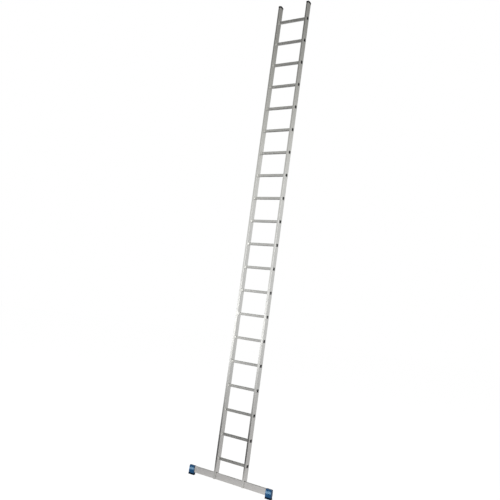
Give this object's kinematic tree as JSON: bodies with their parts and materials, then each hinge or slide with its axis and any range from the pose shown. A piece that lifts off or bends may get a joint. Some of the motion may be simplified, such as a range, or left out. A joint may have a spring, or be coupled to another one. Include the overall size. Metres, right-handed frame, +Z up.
{
  "type": "single section ladder",
  "caption": "Aluminium leaning ladder with square rungs swaged through box stiles, and a wide foot bar with blue end caps and rubber soles.",
  "frame": {"origin": "on the floor, midway between the two feet, in the middle plane of the stiles", "axes": "+X along the rungs to the right as a climber faces the ladder, +Y from the climbing side to the wall side, +Z up along the stiles"},
  "size_m": [1.156, 0.0871, 5.805],
  "materials": {
    "aluminium": "satin extruded",
    "black_plastic": "matte",
    "blue_plastic": "semi-gloss",
    "dark_rubber": "matte",
    "zinc_steel": "zinc plated"
  },
  "bodies": {
    "root": {"left_stile": "aluminium", "right_stile": "aluminium", "rung_01": "aluminium", "rung_02": "aluminium", "rung_03": "aluminium", "rung_04": "aluminium", "rung_05": "aluminium", "rung_06": "aluminium", "rung_07": "aluminium", "rung_08": "aluminium", "rung_09": "aluminium", "rung_10": "aluminium", "rung_11": "aluminium", "rung_12": "aluminium", "rung_13": "aluminium", "rung_14": "aluminium", "rung_15": "aluminium", "rung_16": "aluminium", "rung_17": "aluminium", "rung_18": "aluminium", "rung_19": "aluminium", "rung_20": "aluminium", "left_rung_plugs": "black_plastic", "right_rung_plugs": "black_plastic", "left_top_cap": "black_plastic", "right_top_cap": "black_plastic", "foot_bar": "aluminium", "left_foot_cap": "blue_plastic", "right_foot_cap": "blue_plastic", "left_foot_sole": "dark_rubber", "right_foot_sole": "dark_rubber", "foot_bar_bolts": "zinc_steel", "foot_bar_nuts": "zinc_steel"}
  },
  "joints": []
}
